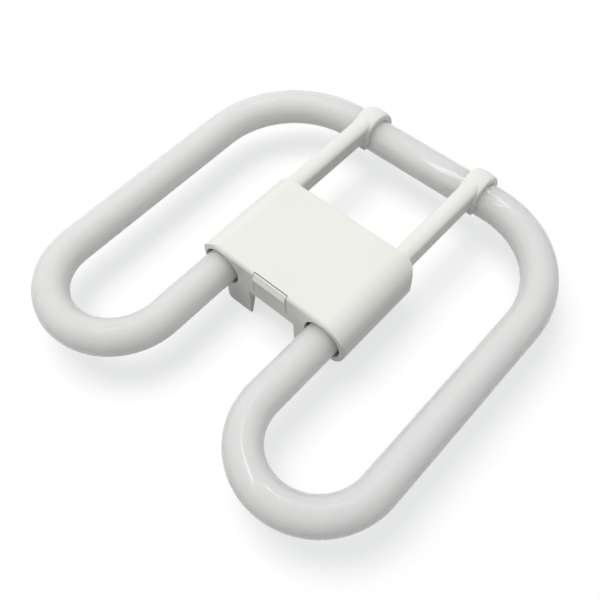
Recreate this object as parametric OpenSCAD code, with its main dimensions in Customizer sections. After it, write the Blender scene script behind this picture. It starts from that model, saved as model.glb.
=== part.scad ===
// Square compact fluorescent lamp.
// A white glass tube is bent into two joined D-loops. Both of its ends go into a
// moulded base block that carries four contact pins inside a skirt underneath.
// Two arms on the block's cover reach across the loops and clip over the far side.
// A spring tongue on the front of the block latches the lamp in its holder.

/* [Glass tube] */
// Outer diameter of the tube
tube_d = 17.6; // [16:0.1:18.5]
// Overall width of the bent tube
tube_w = 205; // [198:1:212]
// Overall height of the bent tube
tube_h = 200.4; // [192:0.4:210]
// Distance between the two legs that enter the block
leg_pitch = 62; // [61:0.5:63]
// Centreline radius of the two outer corners
corner_r = 50; // [40:1:56]
// Room behind each tube end, up to the inside of the block's rear wall
leg_room = 19.1; // [17:0.1:22]
// Diameter of the sealed exhaust stub on each tube end
stub_d = 5; // [4:0.5:6]
// Length of the exhaust stub
stub_l = 6; // [4:0.5:8]
// Rounding where the tube wall turns into its end
shoulder_r = 3; // [2:0.5:4]

/* [Base block] */
// Moulding left outside the mouth that each leg enters
mouth_side = 2.7; // [2.4:0.1:4]
// Clearance all round each leg in its mouth
mouth_gap = 1.5; // [1:0.1:1.8]
// Thickness of the block from its top face to its floor
block_h = 25.5; // [25:0.1:27]
// Length of the block from its front face to its rear face
block_l = 53.9; // [50:0.1:60]
// Place of the front face along the length of the lamp
block_y = -22.3; // [-25:0.1:-19]
// Wall thickness of both mouldings
wall = 2; // [1.6:0.1:2.4]
// Plan radius of the two rear corners
rear_r = 8; // [6:0.5:10]
// Plan radius of the two front corners
front_r = 3; // [2.5:0.1:4]
// Rounding of the front top and bottom edges
front_edge_r = 2.4; // [1:0.1:3]
// Rounding of the rear top and bottom edges
rear_edge_r = 1.2; // [0.6:0.1:2]
// Clearance between each leg and the saddle ribs
rib_gap = 0.5; // [0.3:0.05:0.8]
// Height of the locating lip inside the seam
lip_h = 1.6; // [1:0.1:2]
// Thickness of the locating lip
lip_t = 1; // [0.8:0.1:1.4]
// Clearance between the lip and the cover
lip_gap = 0.3; // [0.25:0.05:0.4]
// Thickness of the saddle ribs that cradle the legs
rib_t = 2; // [1.5:0.1:3]
// Distance from the front face to the saddle ribs
rib_back = 14.8; // [12:0.2:17]

/* [Front tongue] */
// Width of the spring tongue
tongue_w = 19.4; // [14:0.2:22]
// Height of the tongue above the seam
tongue_h = 12.2; // [9:0.1:12.4]
// Thickness of the tongue
tongue_t = 1.3; // [1:0.1:1.5]
// Height of the nose from its catch to the tip of the tongue
nose_h = 3.4; // [2:0.1:4]
// Height of the nose's flat edge above its catch
nose_edge = 0.9; // [0.4:0.1:1.5]
// Reach of the nose out of the front face
nose_out = 1; // [0.5:0.1:1.2]
// Clearance round the tongue in its slot
tongue_gap = 0.4; // [0.3:0.05:0.6]

/* [Front notch] */
// Width of the notch under the middle of the front face
notch_w = 28; // [24:0.5:30]
// Height of the notch above the block's floor
notch_h = 7.9; // [6:0.1:9]
// Depth of the notch behind the front face
notch_d = 3.8; // [3:0.1:5]

/* [Cap skirt] */
// Width of the skirt round the contact pins
skirt_w = 58; // [54:0.5:62]
// Height of the skirt below the block's floor
skirt_h = 10.5; // [9:0.5:12]
// Wall thickness of the skirt
skirt_t = 2; // [1.6:0.1:2.4]
// Distance from the rear of the skirt to the block's rear face
skirt_inset = 5; // [3:0.5:8]
// Rounding of the lower outer corners of the end plates
plate_r = 2.5; // [1:0.1:4]
// Thickness of the front end plates at their lower edge
plate_tip = 1; // [0.8:0.1:1.6]
// Height of the two keying ribs inside the skirt
key_h = 5; // [3:0.5:7]
// Thickness of the keying ribs
key_t = 1.6; // [1.2:0.1:2]

/* [Arms and clips] */
// Distance between the two arms
arm_pitch = 67; // [60:0.5:70]
// Width of each arm
arm_w = 9.4; // [8.5:0.1:11]
// Depth of each arm
arm_h = 9; // [8:0.1:10]
// Fall from the block's top face to the top of the arms
arm_drop = 0.4; // [0.2:0.1:0.8]
// Wall thickness of the arm's channel
arm_t = 1.8; // [1.4:0.1:2.2]
// Height of the rounded crown on each arm
arm_crown = 3; // [2:0.1:3.4]
// Width of the finger that crosses the tube
finger_w = 10.8; // [9:0.1:12]
// Height of the rounded crown on each finger
finger_crown = 1.2; // [0.8:0.1:2]
// Clearance between the clip and the glass
clip_gap = 0.25; // [0.15:0.05:0.4]
// Angle that the outer hook reaches below the tube's middle
hook_angle = 22; // [14:1:30]
// Angle that the inner jaw reaches below the tube's middle
jaw_angle = 6; // [3:1:14]
// Extra width of the jaw on each side of the finger
jaw_extra = 0.6; // [0.4:0.1:1.6]
// Thickness of the jaw at its wide part
jaw_t = 2.6; // [2:0.1:3]
// Angle round the tube at which the wide part of the jaw starts
jaw_start = 150; // [140:1:160]

/* [Contacts and leads] */
// Diameter of the free end of a contact pin
pin_d = 2.4; // [2.2:0.05:2.6]
// Diameter of the shank that sits in the boss
pin_shank_d = 3; // [2.8:0.05:3.2]
// Length of the shank that shows below the floor
pin_step = 0.5; // [0.3:0.1:1]
// Diameter of the tail that the lead is joined to
pin_tail_d = 1.8; // [1.4:0.1:2]
// Distance between pins across the lamp
pin_pitch_x = 10; // [9:0.5:12]
// Distance between pins along the lamp
pin_pitch_y = 10; // [9:0.5:12]
// Distance from the pin tips up to the skirt's lower edge
pin_inset = 2; // [1:0.5:4]
// Height of each pin's tail above the block's floor
pin_tail = 6; // [5.5:0.5:8]
// Distance from a pin's top over which its lead comes straight down
lead_drop = 6; // [4:0.5:8]
// Diameter of the shoulder that stops a pin in its boss
pin_shoulder_d = 4.2; // [3.6:0.1:5]
// Thickness of the shoulder
pin_shoulder_t = 1; // [0.8:0.1:1.4]
// Diameter of the boss round each pin
boss_d = 6.4; // [5.6:0.1:7]
// Height of the boss above the floor
boss_h = 2; // [1.5:0.1:2.5]
// Clearance of a pin's shank in its boss
pin_gap = 0.05; // [0.02:0.01:0.1]
// Diameter of a sleeved lead wire
lead_d = 1.2; // [0.8:0.1:1.6]
// Distance from the middle of a tube end to each of its leads
lead_offset = 4.5; // [4:0.1:5]
// Distance that the inner lead runs straight on from the tube end
inner_run = 5; // [3:0.5:8]
// Length of the cement ring that bonds each leg into the block
cement_l = 5; // [3:0.5:6]
// Thickness of the cement ring
cement_t = 1.6; // [1:0.1:1.7]

/* [Hidden] */
$fn = 96;
// Overlap that joins two solids of one moulding
eps = 0.01;
// Distance that a cut runs past the face it opens
past = 1;
// Segments in a quarter turn of a moulded rounding
arc_n = 14;
// Smallest radius left in the corners of the hollow
corner_min = 0.3;
// Angle over which the finger and the jaw overlap
lap_angle = 2;
// Corners round a lead wire, and rings along it
lead_sides = 8;
lead_rings = 18;
// Direction that a lead wire never runs along, to set its first corner by
lead_side = [1, 0.35, -0.6];
// Straight run of an outer lead, as a share of the room that it bends in
lead_swing = 1.25;
white_glass = [0.87, 0.86, 0.84];
white_plastic = [0.94, 0.94, 0.92];
silicone = [0.86, 0.86, 0.83];
brass = [0.80, 0.66, 0.34];
sleeve = [0.90, 0.88, 0.80];

tube_r = tube_d / 2;
leg_x = leg_pitch / 2;
side_x = (tube_w - tube_d) / 2;
axis_y = (tube_h - tube_d) / 2;
turn_r = (side_x - leg_x) / 2;
turn_y = turn_r - axis_y;

half_h = block_h / 2;
mouth_r = tube_r + mouth_gap;
block_x = leg_x + mouth_r + mouth_side;
side_c = block_x - half_h;
rear_y = block_y + block_l;
lead_y = rear_y - wall - leg_room;
leg_end_y = lead_y - shoulder_r;
rib_bore_r = tube_r + rib_gap;
rib_y = block_y + rib_back;
rib_x = leg_x - rib_bore_r - rib_t;
slot_x = tongue_w / 2 + tongue_gap;
slot_back = block_y + tongue_t + tongue_gap;
notch_x = notch_w / 2;

arm_x = arm_pitch / 2;
arm_top = half_h - arm_drop;
arm_floor = arm_top - arm_h;
clip_r = tube_r + clip_gap;
// Fall of the crown from its middle to the side of the channel
crown_drop = arm_crown * (1 - sin(acos(1 - 2 * arm_t / arm_w)));
hook_y = axis_y + half_h;

skirt_x = skirt_w / 2;
skirt_back = rear_y - skirt_inset;
floor_z = -half_h;
skirt_z = floor_z - skirt_h;
notch_z = floor_z + notch_h;
pin_y = (block_y + skirt_back) / 2;
pin_top = floor_z + pin_tail;
pin_tip = skirt_z + pin_inset;
cement_y = rib_y - rib_t / 2 - cement_l;

// The origin is below the middle of the lamp's outline, at the skirt's lower edge
mid_y = (hook_y - tube_h / 2) / 2;

module in_frame() {
    translate([0, -mid_y, -skirt_z]) children();
}

module both_sides() {
    children();
    mirror([1, 0, 0]) children();
}

function arc(cx, cy, r, from, to) = [
    for (i = [0:arc_n])
        let (a = from + (to - from) * i / arc_n)
            [cx + r * cos(a), cy + r * sin(a)]
];

function flipped(points) = [
    for (i = [len(points) - 1:-1:0]) [-points[i][0], points[i][1]]
];

// A bar section with vertical sides and a crowned top
function crown_section(w, low, high, crown) = concat(
    [[-w / 2, low], [w / 2, low]],
    arc_crown(w / 2, high, crown)
);

function arc_crown(half_w, high, crown) = [
    for (i = [0:2 * arc_n])
        let (a = 90 * i / arc_n)
            [half_w * cos(a), high - crown + crown * sin(a)]
];

// Glass tube

module tube_leg() {
    end_y = leg_end_y - turn_y;
    stub_r = stub_d / 2;
    stub_end = end_y + shoulder_r + stub_l;
    translate([leg_x, turn_y, 0])
        rotate([-90, 0, 0])
            rotate_extrude()
                polygon(concat(
                    [[0, 0]],
                    [[tube_r, 0]],
                    arc(tube_r - shoulder_r, end_y, shoulder_r, 0, 90),
                    [[stub_r, end_y + shoulder_r]],
                    arc(0, stub_end - stub_r, stub_r, 0, 90)
                ));
}

module tube_turn() {
    translate([(leg_x + side_x) / 2, turn_y, 0])
        rotate([0, 0, 180])
            rotate_extrude(angle = 180)
                translate([turn_r, 0])
                    circle(tube_r);
}

module tube_side() {
    translate([side_x, turn_y, 0])
        rotate([-90, 0, 0])
            cylinder(h = axis_y - corner_r - turn_y, r = tube_r);
}

module tube_corner() {
    translate([side_x - corner_r, axis_y - corner_r, 0])
        rotate_extrude(angle = 90)
            translate([corner_r, 0])
                circle(tube_r);
}

module tube_far_side() {
    half = side_x - corner_r;
    translate([-half, axis_y, 0])
        rotate([0, 90, 0])
            cylinder(h = 2 * half, r = tube_r);
}

module glass_tube() {
    color(white_glass)
        in_frame() {
            both_sides() {
                tube_leg();
                tube_turn();
                tube_side();
                tube_corner();
            }
            tube_far_side();
        }
}

// Block outlines, each taken in by the same inset for the hollow inside

function plan_half(inset) =
    let (
        front = max(front_r - inset, corner_min),
        rear = max(rear_r - inset, corner_min),
        side = block_x - inset
    )
        concat(
            arc(side - front, block_y + inset + front, front, 270, 360),
            arc(side - rear, rear_y - inset - rear, rear, 0, 90)
        );

module plan_prism(inset, low, high) {
    translate([0, 0, low])
        linear_extrude(high - low)
            polygon(concat(plan_half(inset), flipped(plan_half(inset))));
}

module section_prism(inset) {
    r = half_h - inset;
    translate([0, rear_y + past, 0])
        rotate([90, 0, 0])
            linear_extrude(block_l + 2 * past)
                polygon(concat(
                    arc(side_c, 0, r, -90, 0),
                    arc(side_c, 0, r, 0, 90),
                    arc(-side_c, 0, r, 90, 180),
                    arc(-side_c, 0, r, 180, 270)
                ));
}

module edge_prism() {
    front = block_y + front_edge_r;
    rear = rear_y - rear_edge_r;
    translate([-block_x - past, 0, 0])
        rotate([90, 0, 90])
            linear_extrude(2 * (block_x + past))
                polygon(concat(
                    arc(rear, half_h - rear_edge_r, rear_edge_r, 0, 90),
                    arc(front, half_h - front_edge_r, front_edge_r, 90, 180),
                    arc(front, front_edge_r - half_h, front_edge_r, 180, 270),
                    arc(rear, rear_edge_r - half_h, rear_edge_r, 270, 360)
                ));
}

module block_solid(low, high) {
    intersection() {
        section_prism(0);
        plan_prism(0, low, high);
        edge_prism();
    }
}

module block_hollow() {
    intersection() {
        section_prism(wall);
        plan_prism(wall, -half_h, half_h);
    }
}

// A wide mouth in the front wall, then a close bore through the saddle rib
module leg_bores() {
    both_sides()
        translate([leg_x, block_y, 0])
            rotate([-90, 0, 0]) {
                translate([0, 0, -past])
                    cylinder(h = wall + 2 * past, r = mouth_r);
                cylinder(h = rib_back + rib_t, r = rib_bore_r);
            }
}

// Stock left standing in the hollow behind each mouth, to cradle the legs
module rib_stock() {
    both_sides()
        translate([rib_x, rib_y - rib_t / 2, -half_h])
            cube([block_x - rib_x, rib_t, block_h]);
}

// Top cover, with its two arms

module arm_solid() {
    translate([arm_x, axis_y, 0])
        rotate([90, 0, 0])
            linear_extrude(axis_y - rear_y + wall / 2)
                polygon(crown_section(arm_w, arm_floor, arm_top, arm_crown));
}

module arm_channel() {
    inner_w = arm_w - 2 * arm_t;
    from = rear_y + arm_t;
    to = axis_y - half_h - arm_t;
    translate([arm_x - inner_w / 2, from, arm_floor - past])
        cube([inner_w, to - from, arm_h - arm_t - crown_drop + past]);
}

module clip_ring() {
    translate([arm_x, axis_y, 0])
        rotate([90, 0, 90]) {
            rotate([0, 0, -hook_angle])
                rotate_extrude(angle = hook_angle + jaw_start + lap_angle)
                    finger_profile();
            rotate([0, 0, jaw_start])
                rotate_extrude(angle = 180 + jaw_angle - jaw_start)
                    jaw_profile();
        }
}

module finger_profile() {
    rotate([0, 0, -90])
        polygon(crown_section(finger_w, clip_r - past, half_h, finger_crown));
}

module jaw_profile() {
    jaw_w = finger_w + 2 * jaw_extra;
    translate([clip_r - past, -jaw_w / 2])
        square([jaw_t + past, jaw_w]);
}

module clip_bore() {
    translate([arm_x - arm_w, axis_y, 0])
        rotate([0, 90, 0])
            cylinder(h = 2 * arm_w, r = clip_r);
}

// The slot is open at the top and the seam, and breaks through the front wall
module tongue_slot() {
    translate([-slot_x, block_y - past, -past])
        cube([2 * slot_x, slot_back - block_y + past, half_h + 2 * past]);
    translate([-slot_x, block_y - past, -past])
        cube([2 * slot_x, wall + 2 * past, half_h - wall - tongue_gap + past]);
}

module top_cover() {
    color(white_plastic)
        in_frame()
            difference() {
                union() {
                    block_solid(0, half_h);
                    both_sides() {
                        arm_solid();
                        clip_ring();
                    }
                }
                difference() {
                    block_hollow();
                    rib_stock();
                }
                leg_bores();
                tongue_slot();
                both_sides() {
                    arm_channel();
                    clip_bore();
                }
            }
}

// Lower housing, with the cap skirt underneath

module skirt_outline(inset) {
    translate([inset - skirt_x, block_y + inset])
        square([skirt_w - 2 * inset, skirt_back - block_y - 2 * inset]);
}

module skirt_wall() {
    translate([0, 0, skirt_z])
        linear_extrude(skirt_h + front_edge_r + eps)
            difference() {
                skirt_outline(0);
                skirt_outline(skirt_t);
            }
}

// The front plates are wedges, thin at the lower edge and as deep as the notch above
module front_wedge() {
    inner = skirt_x - skirt_t / 2;
    translate([-inner, 0, 0])
        rotate([90, 0, 90])
            linear_extrude(2 * inner)
                polygon([
                    [block_y, skirt_z],
                    [block_y + plate_tip, skirt_z],
                    [block_y + notch_d, floor_z + eps],
                    [block_y, floor_z + front_edge_r]
                ]);
}

// Thins the front wall of the skirt to the wedge's slope
module wedge_relief() {
    inner = skirt_x - skirt_t;
    translate([-inner, 0, 0])
        rotate([90, 0, 90])
            linear_extrude(2 * inner)
                polygon([
                    [block_y + plate_tip, skirt_z - past],
                    [block_y + plate_tip, skirt_z],
                    [block_y + notch_d, floor_z],
                    [block_y + notch_d, skirt_z - past]
                ]);
}

// Rounds the lower outer corners of the front and rear plates
module plate_shape() {
    low = skirt_z;
    high = floor_z + front_edge_r + past;
    translate([0, rear_y, 0])
        rotate([90, 0, 0])
            linear_extrude(block_l + past)
                polygon(concat(
                    arc(skirt_x - plate_r, low + plate_r, plate_r, 270, 360),
                    [[skirt_x, high], [-skirt_x, high]],
                    arc(plate_r - skirt_x, low + plate_r, plate_r, 180, 270)
                ));
}

module skirt() {
    intersection() {
        difference() {
            union() {
                skirt_wall();
                front_wedge();
            }
            wedge_relief();
        }
        plate_shape();
    }
}

// The open middle of the skirt, and the notch above it that a spring can catch in
module skirt_gates() {
    translate([-notch_x, block_y - past, skirt_z - past])
        cube([notch_w, skirt_back - block_y + 2 * past, skirt_h + past]);
    translate([-notch_x, block_y - past, skirt_z - past])
        cube([notch_w, notch_d + past, notch_z - skirt_z + past]);
}

// Stock left standing in the hollow as the walls of the notch
module notch_stock() {
    translate([-notch_x - wall, block_y, -half_h])
        cube([notch_w + 2 * wall, notch_d + wall, notch_h + wall]);
}

module key_ribs() {
    both_sides()
        translate([skirt_x - skirt_t - key_h, pin_y - key_t / 2, skirt_z + pin_inset])
            cube([key_h + eps, key_t, skirt_h - pin_inset + eps]);
}

module at_pins() {
    for (x = [-1, 1], y = [-1, 1])
        translate([x * pin_pitch_x / 2, pin_y + y * pin_pitch_y / 2, 0])
            children();
}

module pin_bosses() {
    at_pins()
        translate([0, 0, floor_z])
            cylinder(h = wall + boss_h, d = boss_d);
}

module pin_holes() {
    at_pins()
        translate([0, 0, floor_z - past])
            cylinder(h = wall + boss_h + 2 * past, r = pin_shank_d / 2 + pin_gap);
}

module lip() {
    inner = wall + lip_gap + lip_t;
    difference() {
        union() {
            plan_prism(wall + lip_gap, -lip_h, lip_h);
            plan_prism(wall / 2, -lip_h, -eps);
        }
        plan_prism(inner, -lip_h - past, lip_h + past);
        lip_relief();
    }
}

// The lip stops short of the mouths, where the ribs and the cement hold the legs
module lip_relief() {
    both_sides()
        translate([rib_x - rib_t, block_y - past, -lip_h - past])
            cube([block_x - rib_x + 2 * rib_t, rib_back + rib_t + past, 2 * (lip_h + past)]);
}

module spring_tongue() {
    front = block_y;
    back = block_y + tongue_t;
    catch_z = tongue_h - nose_h;
    translate([-tongue_w / 2, 0, 0])
        rotate([90, 0, 90])
            linear_extrude(tongue_w)
                polygon([
                    [back, -wall],
                    [back, tongue_h],
                    [back - tongue_t / 2, tongue_h],
                    [front - nose_out, catch_z + nose_edge],
                    [front - nose_out, catch_z],
                    [front, catch_z],
                    [front, -wall]
                ]);
}

module lower_housing() {
    color(white_plastic)
        in_frame()
            difference() {
                union() {
                    difference() {
                        union() {
                            block_solid(-half_h, 0);
                            skirt();
                        }
                        difference() {
                            block_hollow();
                            rib_stock();
                            notch_stock();
                            pin_bosses();
                        }
                        skirt_gates();
                    }
                    key_ribs();
                    lip();
                    spring_tongue();
                }
                leg_bores();
                pin_holes();
            }
}

// Cement rings that bond the legs into the block

module cement_ring() {
    color(silicone)
        in_frame()
            translate([leg_x, cement_y, 0])
                rotate([-90, 0, 0])
                    difference() {
                        cylinder(h = cement_l, r = tube_r + cement_t);
                        translate([0, 0, -past])
                            cylinder(h = cement_l + 2 * past, r = tube_r);
                    }
}

module cement_right() {
    cement_ring();
}

module cement_left() {
    mirror([1, 0, 0]) cement_ring();
}

// Contact pins, pushed into the floor from inside until the shoulder seats

module contact_pin(side, row) {
    r = pin_d / 2;
    shank = pin_shank_d / 2;
    step = floor_z - pin_step;
    seat = floor_z + wall + boss_h;
    color(brass)
        in_frame()
            translate([side * pin_pitch_x / 2, pin_y + row * pin_pitch_y / 2, 0])
                rotate_extrude()
                    polygon(concat(
                        arc(0, pin_tip + r, r, -90, 0),
                        [
                            [r, step],
                            [shank, step],
                            [shank, seat],
                            [pin_shoulder_d / 2, seat],
                            [pin_shoulder_d / 2, seat + pin_shoulder_t],
                            [pin_tail_d / 2, seat + pin_shoulder_t],
                            [pin_tail_d / 2, pin_top],
                            [0, pin_top]
                        ]
                    ));
}

module pin_front_left() {
    contact_pin(-1, -1);
}

module pin_front_right() {
    contact_pin(1, -1);
}

module pin_rear_left() {
    contact_pin(-1, 1);
}

module pin_rear_right() {
    contact_pin(1, 1);
}

// Lead wires, swept along a smooth curve from a tube end to the top of a pin

function bezier(p, t) =
    pow(1 - t, 3) * p[0] + 3 * pow(1 - t, 2) * t * p[1]
    + 3 * (1 - t) * t * t * p[2] + pow(t, 3) * p[3];

function bezier_slope(p, t) =
    pow(1 - t, 2) * (p[1] - p[0]) + 2 * (1 - t) * t * (p[2] - p[1])
    + t * t * (p[3] - p[2]);

function unit(v) = v / norm(v);

module sweep(p, r) {
    points = [
        for (i = [0:lead_rings])
            let (
                t = i / lead_rings,
                ahead = unit(bezier_slope(p, t)),
                across = unit(cross(ahead, lead_side)),
                up = cross(across, ahead)
            )
                for (k = [0:lead_sides - 1])
                    let (a = 360 * k / lead_sides)
                        bezier(p, t) + r * (cos(a) * across + sin(a) * up)
    ];
    walls = [
        for (i = [0:lead_rings - 1], k = [0:lead_sides - 1])
            let (
                next = (k + 1) % lead_sides,
                low = i * lead_sides,
                high = low + lead_sides
            )
                [low + k, low + next, high + next, high + k]
    ];
    first = [[for (k = [lead_sides - 1:-1:0]) k]];
    last = [[for (k = [0:lead_sides - 1]) lead_rings * lead_sides + k]];
    polyhedron(points, concat(first, walls, last));
}

module lead_wire(side, row) {
    // The inner lead of each tube end goes to the front pin, the outer to the rear pin
    start = [leg_x + row * lead_offset, lead_y, 0];
    finish = [pin_pitch_x / 2, pin_y + row * pin_pitch_y / 2, pin_top];
    // The outer lead bends between the exhaust stub and the rear wall
    run = row > 0 ? lead_swing * (stub_l + leg_room) : inner_run;
    color(sleeve)
        in_frame()
            mirror([side < 0 ? 1 : 0, 0, 0])
                sweep([start, start + [0, run, 0], finish + [0, 0, lead_drop], finish], lead_d / 2);
}

module lead_front_left() {
    lead_wire(-1, -1);
}

module lead_front_right() {
    lead_wire(1, -1);
}

module lead_rear_left() {
    lead_wire(-1, 1);
}

module lead_rear_right() {
    lead_wire(1, 1);
}

glass_tube();
top_cover();
lower_housing();
cement_left();
cement_right();
pin_front_left();
pin_front_right();
pin_rear_left();
pin_rear_right();
lead_front_left();
lead_front_right();
lead_rear_left();
lead_rear_right();
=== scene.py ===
import math

import bmesh
import bpy
from mathutils import Matrix, Vector


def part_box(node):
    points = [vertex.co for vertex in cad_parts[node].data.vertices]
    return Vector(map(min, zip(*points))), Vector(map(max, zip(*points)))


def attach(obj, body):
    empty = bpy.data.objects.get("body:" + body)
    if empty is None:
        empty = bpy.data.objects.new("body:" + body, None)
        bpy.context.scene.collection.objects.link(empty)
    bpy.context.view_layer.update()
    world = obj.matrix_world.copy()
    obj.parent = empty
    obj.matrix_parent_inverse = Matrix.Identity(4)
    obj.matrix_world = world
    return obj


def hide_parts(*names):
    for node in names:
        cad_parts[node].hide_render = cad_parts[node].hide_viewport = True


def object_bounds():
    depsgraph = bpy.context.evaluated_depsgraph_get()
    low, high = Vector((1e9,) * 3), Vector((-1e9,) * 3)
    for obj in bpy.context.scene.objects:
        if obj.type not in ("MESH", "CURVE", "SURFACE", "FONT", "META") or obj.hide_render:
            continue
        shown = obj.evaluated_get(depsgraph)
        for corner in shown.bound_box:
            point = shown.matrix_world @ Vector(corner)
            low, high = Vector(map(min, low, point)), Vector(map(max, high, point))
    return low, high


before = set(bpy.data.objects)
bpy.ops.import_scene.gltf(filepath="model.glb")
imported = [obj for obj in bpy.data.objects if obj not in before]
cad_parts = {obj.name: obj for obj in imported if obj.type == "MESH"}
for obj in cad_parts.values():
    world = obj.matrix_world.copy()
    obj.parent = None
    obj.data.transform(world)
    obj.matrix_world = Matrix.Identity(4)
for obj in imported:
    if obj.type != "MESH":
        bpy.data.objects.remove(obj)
solid_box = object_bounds()


# Camera
# It stands over the near right corner of the lamp, looks steeply down at the
# middle of the glass and leans over a little to the left.

tube_low, tube_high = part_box("glass_tube")
tube_middle = (tube_low + tube_high) / 2
camera_azimuth = math.radians(43.677)
camera_elevation = math.radians(56.435)
camera_lean = math.radians(-2.389)
camera_distance = 0.387576
camera_shift_across = -0.001151
camera_shift_up = -0.013318
camera_lens_mm = 49.565

level_right = Vector((math.cos(camera_azimuth), math.sin(camera_azimuth), 0))
to_camera = Vector((
    math.sin(camera_azimuth) * math.cos(camera_elevation),
    -math.cos(camera_azimuth) * math.cos(camera_elevation),
    math.sin(camera_elevation),
))
level_up = to_camera.cross(level_right)
camera_right = math.cos(camera_lean) * level_right + math.sin(camera_lean) * level_up
camera_up = math.cos(camera_lean) * level_up - math.sin(camera_lean) * level_right

camera_data = bpy.data.cameras.new("camera")
camera_data.lens = camera_lens_mm
camera_data.sensor_width = 36
camera_data.clip_start = 0.01
camera_data.clip_end = 80
camera = bpy.data.objects.new("camera", camera_data)
bpy.context.scene.collection.objects.link(camera)
camera_place = (
    tube_middle
    + camera_distance * to_camera
    + camera_shift_across * camera_right
    + camera_shift_up * camera_up
)
camera_turn = Matrix((camera_right, camera_up, to_camera)).transposed()
camera.matrix_world = Matrix.Translation(camera_place) @ camera_turn.to_4x4()
bpy.context.scene.camera = camera


# Floor and light
# A pale sweep that the lamp stands on, white far out where the lamps no longer
# reach it, one wide soft lamp high on the left, a narrow strip overhead that draws
# the streaks in the glass, and an even room.

bpy.context.scene.view_settings.view_transform = "Standard"

floor_colour = (0.33, 0.32, 0.305, 1)
floor_glow = (0.69, 0.70, 0.71, 1)
floor_half = 30
room_light = 0.31


def node_tree(material):
    material.use_nodes = True
    tree = material.node_tree
    tree.nodes.clear()
    return tree.nodes, tree.links


def seen_directly(nodes, links):
    path = nodes.new("ShaderNodeLightPath")
    first = nodes.new("ShaderNodeMath")
    first.operation = "MAXIMUM"
    second = nodes.new("ShaderNodeMath")
    second.operation = "MAXIMUM"
    links.new(path.outputs["Is Camera Ray"], first.inputs[0])
    links.new(path.outputs["Is Glossy Ray"], first.inputs[1])
    links.new(first.outputs[0], second.inputs[0])
    links.new(path.outputs["Is Transmission Ray"], second.inputs[1])
    return second.outputs[0]


def pale_floor():
    material = bpy.data.materials.new("pale_floor")
    nodes, links = node_tree(material)
    matt = nodes.new("ShaderNodeBsdfDiffuse")
    matt.inputs["Color"].default_value = floor_colour
    glow = nodes.new("ShaderNodeEmission")
    glow.inputs["Color"].default_value = floor_glow
    place = nodes.new("ShaderNodeTexCoord")
    reach = nodes.new("ShaderNodeVectorMath")
    reach.operation = "LENGTH"
    links.new(place.outputs["Object"], reach.inputs[0])
    rise = nodes.new("ShaderNodeMapRange")
    rise.inputs["From Min"].default_value = 0.5
    rise.inputs["From Max"].default_value = 4
    rise.inputs["To Min"].default_value = 1
    rise.inputs["To Max"].default_value = 1.5
    links.new(reach.outputs["Value"], rise.inputs["Value"])
    links.new(rise.outputs[0], glow.inputs["Strength"])
    both = nodes.new("ShaderNodeAddShader")
    links.new(matt.outputs[0], both.inputs[0])
    links.new(glow.outputs[0], both.inputs[1])
    choice = nodes.new("ShaderNodeMixShader")
    links.new(seen_directly(nodes, links), choice.inputs[0])
    links.new(matt.outputs[0], choice.inputs[1])
    links.new(both.outputs[0], choice.inputs[2])
    output = nodes.new("ShaderNodeOutputMaterial")
    links.new(choice.outputs[0], output.inputs["Surface"])
    return material


floor_mesh = bpy.data.meshes.new("floor")
floor_level = solid_box[0].z
floor_mesh.from_pydata(
    [(x, y, floor_level) for x, y in (
        (-floor_half, -floor_half), (floor_half, -floor_half),
        (floor_half, floor_half), (-floor_half, floor_half),
    )],
    [],
    [(0, 1, 2, 3)],
)
floor = bpy.data.objects.new("floor", floor_mesh)
bpy.context.scene.collection.objects.link(floor)
floor_mesh.materials.append(pale_floor())

world = bpy.data.worlds.new("room")
bpy.context.scene.world = world
world.use_nodes = True
room_nodes = world.node_tree.nodes
room_links = world.node_tree.links
room_nodes.clear()
dim_room = room_nodes.new("ShaderNodeBackground")
dim_room.inputs["Color"].default_value = (1, 1, 1, 1)
dim_room.inputs["Strength"].default_value = room_light
white_room = room_nodes.new("ShaderNodeBackground")
white_room.inputs["Color"].default_value = (1, 1, 1, 1)
white_room.inputs["Strength"].default_value = 1
room_choice = room_nodes.new("ShaderNodeMixShader")
room_links.new(seen_directly(room_nodes, room_links), room_choice.inputs[0])
room_links.new(dim_room.outputs[0], room_choice.inputs[1])
room_links.new(white_room.outputs[0], room_choice.inputs[2])
room_output = room_nodes.new("ShaderNodeOutputWorld")
room_links.new(room_choice.outputs[0], room_output.inputs["Surface"])


def soft_lamp(name, direction, distance, width, length, power):
    data = bpy.data.lights.new(name, "AREA")
    data.shape = "RECTANGLE"
    data.size = width
    data.size_y = length
    data.energy = power
    lamp = bpy.data.objects.new(name, data)
    bpy.context.scene.collection.objects.link(lamp)
    away = Vector(direction).normalized()
    lamp.matrix_world = (
        Matrix.Translation(tube_middle + distance * away)
        @ (-away).to_track_quat("-Z", "Y").to_matrix().to_4x4()
    )
    return lamp


key_lamp = soft_lamp("key_lamp", (-0.33, 0.0, 0.94), 3.6, 2.1, 2.1, 92)
key_lamp.visible_glossy = False
soft_lamp("strip_lamp", (-0.31, 0.04, 0.95), 1.2, 1.1, 0.05, 1.1)


# Glass tube
# One length of soda glass tube, bent hot into two joined loops and coated inside
# with a white powder, so the clear wall shines over a soft white ground.

tube_radius = 0.0088
tube_reach = (tube_high - tube_low).x / 2 - tube_radius
leg_reach = 0.031
corner_radius = 0.050
turn_radius = (tube_reach - leg_reach) / 2
far_line = tube_high.y - tube_radius
turn_line = tube_low.y + tube_radius + turn_radius
leg_end = tube_middle.y + 0.0075
shoulder_radius = 0.003
stub_radius = 0.0025
stub_length = 0.006
stub_tip_radius = 0.00002
ring_points = 64
arc_steps = 40
end_steps = 8


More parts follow.
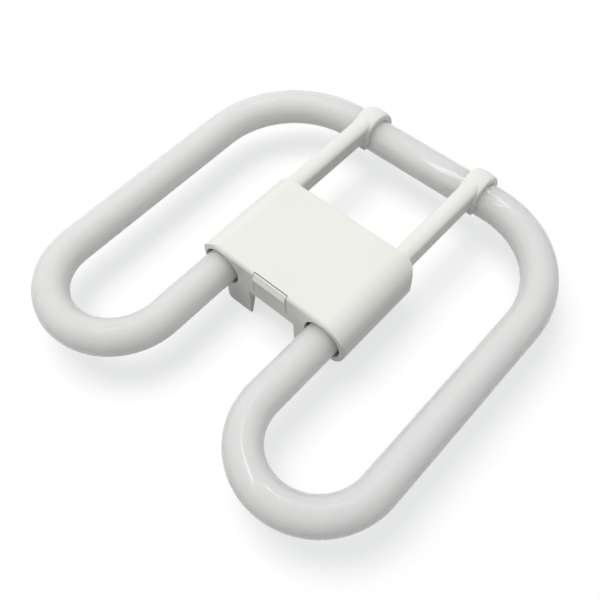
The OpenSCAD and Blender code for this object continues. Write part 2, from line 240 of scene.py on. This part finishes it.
def bend(centre_x, centre_y, radius, start, stop):
    stations = []
    for step in range(arc_steps + 1):
        angle = math.radians(start + (stop - start) * step / arc_steps)
        place = Vector((
            centre_x + radius * math.cos(angle),
            centre_y + radius * math.sin(angle),
            tube_middle.z,
        ))
        along = math.copysign(1, stop - start) * Vector((-math.sin(angle), math.cos(angle), 0))
        stations.append((place, along, tube_radius))
    return stations


def sealed_end(side):
    # The wall turns in over a rounded shoulder, and a short sealed stub stands on it
    along = Vector((0, 1, 0))
    stations = []
    base = Vector((side * leg_reach, leg_end, tube_middle.z))
    for step in range(end_steps + 1):
        angle = math.radians(90 * step / end_steps)
        out = shoulder_radius * math.sin(angle)
        width = tube_radius - shoulder_radius * (1 - math.cos(angle))
        stations.append((base + out * along, -along, width))
    stations.append((base + shoulder_radius * along, -along, stub_radius))
    neck = shoulder_radius + stub_length - stub_radius
    for step in range(end_steps + 1):
        angle = math.radians(90 * step / end_steps)
        width = max(stub_radius * math.cos(angle), stub_tip_radius)
        stations.append((base + (neck + stub_radius * math.sin(angle)) * along, -along, width))
    return stations


def tube_route():
    turn_x = (leg_reach + tube_reach) / 2
    route = list(reversed(sealed_end(-1)))
    route += bend(-turn_x, turn_line, turn_radius, 360, 180)
    route += bend(corner_radius - tube_reach, far_line - corner_radius, corner_radius, 180, 90)
    route += bend(tube_reach - corner_radius, far_line - corner_radius, corner_radius, 90, 0)
    route += bend(turn_x, turn_line, turn_radius, 0, -180)
    route += [(place, -along, radius) for place, along, radius in sealed_end(1)]
    return route


def swept_mesh(name, route, points):
    shape = bmesh.new()
    rings = []
    for place, along, radius in route:
        across = along.cross(Vector((0, 0, 1))).normalized()
        rise = across.cross(along)
        ring = []
        for index in range(points):
            angle = 2 * math.pi * index / points
            spoke = math.cos(angle) * across + math.sin(angle) * rise
            ring.append(shape.verts.new(place + radius * spoke))
        rings.append(ring)
    for near, far in zip(rings, rings[1:]):
        for index in range(points):
            after = (index + 1) % points
            shape.faces.new((near[index], near[after], far[after], far[index]))
    shape.faces.new(list(reversed(rings[0])))
    shape.faces.new(rings[-1])
    bmesh.ops.recalc_face_normals(shape, faces=shape.faces)
    for face in shape.faces:
        face.smooth = True
    mesh = bpy.data.meshes.new(name)
    shape.to_mesh(mesh)
    shape.free()
    piece = bpy.data.objects.new(name, mesh)
    bpy.context.scene.collection.objects.link(piece)
    return piece


def coated_glass():
    material = bpy.data.materials.new("coated_glass")
    nodes, links = node_tree(material)
    place = nodes.new("ShaderNodeTexCoord")
    clouds = nodes.new("ShaderNodeTexNoise")
    clouds.inputs["Scale"].default_value = 14
    clouds.inputs["Detail"].default_value = 3
    links.new(place.outputs["Object"], clouds.inputs["Vector"])
    tint = nodes.new("ShaderNodeValToRGB")
    tint.color_ramp.elements[0].position = 0.35
    tint.color_ramp.elements[0].color = (0.905, 0.90, 0.875, 1)
    tint.color_ramp.elements[1].position = 0.68
    tint.color_ramp.elements[1].color = (0.92, 0.92, 0.91, 1)
    links.new(clouds.outputs["Fac"], tint.inputs["Fac"])
    powder = nodes.new("ShaderNodeTexNoise")
    powder.inputs["Scale"].default_value = 900
    powder.inputs["Detail"].default_value = 2
    links.new(place.outputs["Object"], powder.inputs["Vector"])
    grain = nodes.new("ShaderNodeMixRGB")
    grain.blend_type = "MULTIPLY"
    grain.inputs["Fac"].default_value = 0.05
    links.new(tint.outputs["Color"], grain.inputs["Color1"])
    links.new(powder.outputs["Fac"], grain.inputs["Color2"])
    ripple = nodes.new("ShaderNodeTexNoise")
    ripple.inputs["Scale"].default_value = 60
    ripple.inputs["Detail"].default_value = 1
    links.new(place.outputs["Object"], ripple.inputs["Vector"])
    bump = nodes.new("ShaderNodeBump")
    bump.inputs["Strength"].default_value = 0.05
    bump.inputs["Distance"].default_value = 0.0004
    links.new(ripple.outputs["Fac"], bump.inputs["Height"])
    shader = nodes.new("ShaderNodeBsdfPrincipled")
    links.new(grain.outputs["Color"], shader.inputs["Base Color"])
    shader.inputs["Roughness"].default_value = 0.55
    shader.inputs["Specular IOR Level"].default_value = 0.2
    shader.inputs["Subsurface Weight"].default_value = 1
    shader.inputs["Subsurface Radius"].default_value = (1, 1, 1)
    shader.inputs["Subsurface Scale"].default_value = 0.05
    shader.inputs["Coat Weight"].default_value = 1
    shader.inputs["Coat Roughness"].default_value = 0.07
    shader.inputs["Coat IOR"].default_value = 1.42
    links.new(bump.outputs["Normal"], shader.inputs["Coat Normal"])
    output = nodes.new("ShaderNodeOutputMaterial")
    links.new(shader.outputs[0], output.inputs["Surface"])
    return material


glass = swept_mesh("bent_glass", tube_route(), ring_points)
glass.data.materials.append(coated_glass())
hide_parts("glass_tube")
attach(glass, "root")


# Top cover and lower housing
# Two mouldings in white heat-resistant plastic that snap together round the legs.
# The cover carries the two arms that clip over the far side of the glass.


def moulded_plastic():
    material = bpy.data.materials.new("moulded_plastic")
    nodes, links = node_tree(material)
    place = nodes.new("ShaderNodeTexCoord")
    clouds = nodes.new("ShaderNodeTexNoise")
    clouds.inputs["Scale"].default_value = 25
    clouds.inputs["Detail"].default_value = 4
    links.new(place.outputs["Object"], clouds.inputs["Vector"])
    tint = nodes.new("ShaderNodeValToRGB")
    tint.color_ramp.elements[0].position = 0.3
    tint.color_ramp.elements[0].color = (0.85, 0.845, 0.80, 1)
    tint.color_ramp.elements[1].position = 0.7
    tint.color_ramp.elements[1].color = (0.87, 0.87, 0.835, 1)
    links.new(clouds.outputs["Fac"], tint.inputs["Fac"])
    grain = nodes.new("ShaderNodeTexNoise")
    grain.inputs["Scale"].default_value = 2200
    grain.inputs["Detail"].default_value = 2
    links.new(place.outputs["Object"], grain.inputs["Vector"])
    bump = nodes.new("ShaderNodeBump")
    bump.inputs["Strength"].default_value = 0.12
    bump.inputs["Distance"].default_value = 0.0001
    links.new(grain.outputs["Fac"], bump.inputs["Height"])
    shine = nodes.new("ShaderNodeMapRange")
    shine.inputs["To Min"].default_value = 0.32
    shine.inputs["To Max"].default_value = 0.42
    links.new(clouds.outputs["Fac"], shine.inputs["Value"])
    shader = nodes.new("ShaderNodeBsdfPrincipled")
    links.new(tint.outputs["Color"], shader.inputs["Base Color"])
    links.new(shine.outputs[0], shader.inputs["Roughness"])
    links.new(bump.outputs["Normal"], shader.inputs["Normal"])
    output = nodes.new("ShaderNodeOutputMaterial")
    links.new(shader.outputs[0], output.inputs["Surface"])
    return material


def refinish(node, material):
    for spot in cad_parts[node].material_slots:
        spot.material = material


plastic = moulded_plastic()
refinish("top_cover", plastic)
refinish("lower_housing", plastic)


# Cement rings
# A ring of white silicone round each leg, run in wet between glass and moulding.


def cement():
    material = bpy.data.materials.new("cement")
    nodes, links = node_tree(material)
    place = nodes.new("ShaderNodeTexCoord")
    lumps = nodes.new("ShaderNodeTexNoise")
    lumps.inputs["Scale"].default_value = 300
    links.new(place.outputs["Object"], lumps.inputs["Vector"])
    bump = nodes.new("ShaderNodeBump")
    bump.inputs["Strength"].default_value = 0.3
    bump.inputs["Distance"].default_value = 0.0003
    links.new(lumps.outputs["Fac"], bump.inputs["Height"])
    tint = nodes.new("ShaderNodeValToRGB")
    tint.color_ramp.elements[0].color = (0.66, 0.65, 0.60, 1)
    tint.color_ramp.elements[1].color = (0.78, 0.77, 0.73, 1)
    links.new(lumps.outputs["Fac"], tint.inputs["Fac"])
    shader = nodes.new("ShaderNodeBsdfPrincipled")
    shader.inputs["Roughness"].default_value = 0.7
    links.new(tint.outputs["Color"], shader.inputs["Base Color"])
    links.new(bump.outputs["Normal"], shader.inputs["Normal"])
    output = nodes.new("ShaderNodeOutputMaterial")
    links.new(shader.outputs[0], output.inputs["Surface"])
    return material


silicone = cement()
for side in ("left", "right"):
    refinish("cement_" + side, silicone)


# Contact pins
# Four turned brass pins pushed into bosses in the floor, bright where they were cut.


def pin_brass():
    material = bpy.data.materials.new("pin_brass")
    nodes, links = node_tree(material)
    place = nodes.new("ShaderNodeTexCoord")
    stretch = nodes.new("ShaderNodeMapping")
    stretch.inputs["Scale"].default_value = (1, 1, 30)
    links.new(place.outputs["Object"], stretch.inputs["Vector"])
    marks = nodes.new("ShaderNodeTexNoise")
    marks.inputs["Scale"].default_value = 400
    links.new(stretch.outputs["Vector"], marks.inputs["Vector"])
    tint = nodes.new("ShaderNodeValToRGB")
    tint.color_ramp.elements[0].color = (0.60, 0.43, 0.17, 1)
    tint.color_ramp.elements[1].color = (0.80, 0.62, 0.30, 1)
    links.new(marks.outputs["Fac"], tint.inputs["Fac"])
    bump = nodes.new("ShaderNodeBump")
    bump.inputs["Strength"].default_value = 0.2
    bump.inputs["Distance"].default_value = 0.0001
    links.new(marks.outputs["Fac"], bump.inputs["Height"])
    shader = nodes.new("ShaderNodeBsdfPrincipled")
    shader.inputs["Metallic"].default_value = 1
    shader.inputs["Roughness"].default_value = 0.28
    links.new(tint.outputs["Color"], shader.inputs["Base Color"])
    links.new(bump.outputs["Normal"], shader.inputs["Normal"])
    output = nodes.new("ShaderNodeOutputMaterial")
    links.new(shader.outputs[0], output.inputs["Surface"])
    return material


brass = pin_brass()
for row in ("front", "rear"):
    for side in ("left", "right"):
        refinish("pin_" + row + "_" + side, brass)


# Lead wires
# Four thin wires in woven glass sleeves, from the tube ends to the backs of the pins.


def wire_sleeve():
    material = bpy.data.materials.new("wire_sleeve")
    nodes, links = node_tree(material)
    place = nodes.new("ShaderNodeTexCoord")
    weave = nodes.new("ShaderNodeTexWave")
    weave.inputs["Scale"].default_value = 500
    weave.inputs["Distortion"].default_value = 2
    links.new(place.outputs["Object"], weave.inputs["Vector"])
    tint = nodes.new("ShaderNodeValToRGB")
    tint.color_ramp.elements[0].color = (0.66, 0.62, 0.50, 1)
    tint.color_ramp.elements[1].color = (0.82, 0.79, 0.68, 1)
    links.new(weave.outputs["Fac"], tint.inputs["Fac"])
    bump = nodes.new("ShaderNodeBump")
    bump.inputs["Strength"].default_value = 0.4
    bump.inputs["Distance"].default_value = 0.0001
    links.new(weave.outputs["Fac"], bump.inputs["Height"])
    shader = nodes.new("ShaderNodeBsdfPrincipled")
    shader.inputs["Roughness"].default_value = 0.8
    links.new(tint.outputs["Color"], shader.inputs["Base Color"])
    links.new(bump.outputs["Normal"], shader.inputs["Normal"])
    output = nodes.new("ShaderNodeOutputMaterial")
    links.new(shader.outputs[0], output.inputs["Surface"])
    return material


sleeving = wire_sleeve()
for row in ("front", "rear"):
    for side in ("left", "right"):
        refinish("lead_" + row + "_" + side, sleeving)
